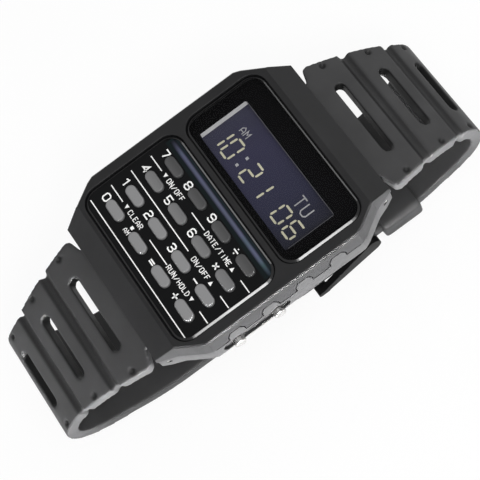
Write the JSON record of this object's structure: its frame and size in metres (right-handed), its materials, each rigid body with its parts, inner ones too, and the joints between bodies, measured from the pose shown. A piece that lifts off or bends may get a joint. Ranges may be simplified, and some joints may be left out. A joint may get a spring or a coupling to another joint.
{
  "type": "calculator watch",
  "caption": "Digital calculator wristwatch: resin case with display window and keypad on its face, slotted resin strap buckled into a loop.",
  "frame": {"origin": "centre of the case back's outer face", "axes": "+Z out of the watch face, +Y towards 12 o'clock, +X towards 3 o'clock"},
  "size_m": [0.0351, 0.0806, 0.0303],
  "materials": {
    "bezel": "fine satin black resin",
    "case_body": "satin black resin",
    "glass": "clear hard window, slightly smoked",
    "panel": "gloss black printed plate",
    "keycap": "dark grey satin",
    "membrane": "grey silicone rubber",
    "board": "green circuit board",
    "chip": "black epoxy",
    "can": "plain steel can",
    "elastomer": "layered silicone",
    "spacer": "white plastic",
    "cell": "liquid crystal glass with polariser",
    "mask": "black plastic",
    "frame": "black plastic",
    "steel": "bare steel",
    "back": "brushed stainless steel",
    "brass": "brass with a ceramic disc",
    "seal": "black rubber",
    "pusher": "turned steel",
    "strap": "matte black resin",
    "buckle": "black coated steel"
  },
  "bodies": {
    "case": {"bezel": "bezel", "case_body": "case_body", "lcd_glass": "glass", "keypad_panel": "panel", "key_membrane": "membrane", "circuit_board": "board", "ic_chip": "chip", "quartz_crystal": "can", "zebra_connectors": "elastomer", "lcd_spacer": "spacer", "lcd_cell": "cell", "display_mask": "mask", "module_frame": "frame", "module_screws": "steel", "battery": "steel", "battery_clip": "steel", "battery_contact": "steel", "buzzer_disc": "brass", "buzzer_spring": "steel", "case_back": "back", "case_screws": "steel", "back_gasket": "seal", "pusher_seals": "seal", "switch_springs": "steel", "spring_bar_12": "steel", "spring_bar_6": "steel", "pusher_upper_spring": "steel", "pusher_lower_spring": "steel"},
    "key_7": {"key_7": "keycap"},
    "key_8": {"key_8": "keycap"},
    "key_9": {"key_9": "keycap"},
    "key_divide": {"key_divide": "keycap"},
    "key_4": {"key_4": "keycap"},
    "key_5": {"key_5": "keycap"},
    "key_6": {"key_6": "keycap"},
    "key_times": {"key_times": "keycap"},
    "key_1": {"key_1": "keycap"},
    "key_2": {"key_2": "keycap"},
    "key_3": {"key_3": "keycap"},
    "key_minus": {"key_minus": "keycap"},
    "key_0": {"key_0": "keycap"},
    "key_point": {"key_point": "keycap"},
    "key_equals": {"key_equals": "keycap"},
    "key_plus": {"key_plus": "keycap"},
    "pusher_upper": {"pusher_upper": "pusher", "pusher_upper_clip": "steel"},
    "pusher_lower": {"pusher_lower": "pusher", "pusher_lower_clip": "steel"},
    "strap_12": {"strap_12": "strap"},
    "strap_6": {"strap_6": "strap"},
    "buckle_frame": {"buckle_frame": "buckle", "buckle_bar": "steel"},
    "buckle_tongue": {"buckle_tongue": "buckle"},
    "keeper": {"keeper": "strap"}
  },
  "joints": [
    {"name": "key_7_press", "type": "slide", "parent": "case", "child": "key_7", "axis": [0, 0, -1], "range_m": [0, 0.00035], "stiffness_N_per_m": 600, "deforming": ["key_membrane"]},
    {"name": "key_8_press", "type": "slide", "parent": "case", "child": "key_8", "axis": [0, 0, -1], "range_m": [0, 0.00035], "stiffness_N_per_m": 600, "deforming": ["key_membrane"]},
    {"name": "key_9_press", "type": "slide", "parent": "case", "child": "key_9", "axis": [0, 0, -1], "range_m": [0, 0.00035], "stiffness_N_per_m": 600, "deforming": ["key_membrane"]},
    {"name": "key_divide_press", "type": "slide", "parent": "case", "child": "key_divide", "axis": [0, 0, -1], "range_m": [0, 0.00035], "stiffness_N_per_m": 600, "deforming": ["key_membrane"]},
    {"name": "key_4_press", "type": "slide", "parent": "case", "child": "key_4", "axis": [0, 0, -1], "range_m": [0, 0.00035], "stiffness_N_per_m": 600, "deforming": ["key_membrane"]},
    {"name": "key_5_press", "type": "slide", "parent": "case", "child": "key_5", "axis": [0, 0, -1], "range_m": [0, 0.00035], "stiffness_N_per_m": 600, "deforming": ["key_membrane"]},
    {"name": "key_6_press", "type": "slide", "parent": "case", "child": "key_6", "axis": [0, 0, -1], "range_m": [0, 0.00035], "stiffness_N_per_m": 600, "deforming": ["key_membrane"]},
    {"name": "key_times_press", "type": "slide", "parent": "case", "child": "key_times", "axis": [0, 0, -1], "range_m": [0, 0.00035], "stiffness_N_per_m": 600, "deforming": ["key_membrane"]},
    {"name": "key_1_press", "type": "slide", "parent": "case", "child": "key_1", "axis": [0, 0, -1], "range_m": [0, 0.00035], "stiffness_N_per_m": 600, "deforming": ["key_membrane"]},
    {"name": "key_2_press", "type": "slide", "parent": "case", "child": "key_2", "axis": [0, 0, -1], "range_m": [0, 0.00035], "stiffness_N_per_m": 600, "deforming": ["key_membrane"]},
    {"name": "key_3_press", "type": "slide", "parent": "case", "child": "key_3", "axis": [0, 0, -1], "range_m": [0, 0.00035], "stiffness_N_per_m": 600, "deforming": ["key_membrane"]},
    {"name": "key_minus_press", "type": "slide", "parent": "case", "child": "key_minus", "axis": [0, 0, -1], "range_m": [0, 0.00035], "stiffness_N_per_m": 600, "deforming": ["key_membrane"]},
    {"name": "key_0_press", "type": "slide", "parent": "case", "child": "key_0", "axis": [0, 0, -1], "range_m": [0, 0.00035], "stiffness_N_per_m": 600, "deforming": ["key_membrane"]},
    {"name": "key_point_press", "type": "slide", "parent": "case", "child": "key_point", "axis": [0, 0, -1], "range_m": [0, 0.00035], "stiffness_N_per_m": 600, "deforming": ["key_membrane"]},
    {"name": "key_equals_press", "type": "slide", "parent": "case", "child": "key_equals", "axis": [0, 0, -1], "range_m": [0, 0.00035], "stiffness_N_per_m": 600, "deforming": ["key_membrane"]},
    {"name": "key_plus_press", "type": "slide", "parent": "case", "child": "key_plus", "axis": [0, 0, -1], "range_m": [0, 0.00035], "stiffness_N_per_m": 600, "deforming": ["key_membrane"]},
    {"name": "pusher_upper_press", "type": "slide", "parent": "case", "child": "pusher_upper", "axis": [-1, 0, 0], "range_m": [0, 0.00045], "stiffness_N_per_m": 500, "deforming": ["pusher_upper_spring"]},
    {"name": "pusher_lower_press", "type": "slide", "parent": "case", "child": "pusher_lower", "axis": [-1, 0, 0], "range_m": [0, 0.00045], "stiffness_N_per_m": 500, "deforming": ["pusher_lower_spring"]},
    {"name": "strap_12_lug_hinge", "type": "hinge", "parent": "case", "child": "strap_12", "pos_m": [0, 0.02, 0.0031], "axis": [1, 0, 0], "range_deg": [-0.4, 0.4]},
    {"name": "strap_6_lug_hinge", "type": "hinge", "parent": "case", "child": "strap_6", "pos_m": [0, -0.02, 0.0031], "axis": [1, 0, 0], "range_deg": [-0.2, 0.2]},
    {"name": "buckle_frame_hinge", "type": "hinge", "parent": "strap_12", "child": "buckle_frame", "pos_m": [0, 0.0159, -0.01693], "axis": [1, 0, 0], "range_deg": [0, 5]},
    {"name": "buckle_tongue_hinge", "type": "hinge", "parent": "buckle_frame", "child": "buckle_tongue", "pos_m": [0, 0.0159, -0.01693], "axis": [1, 0, 0], "range_deg": [0, 5]},
    {"name": "keeper_slide", "type": "slide", "parent": "strap_12", "child": "keeper", "axis": [0, -1, 0], "range_m": [0, 0.0008]}
  ]
}
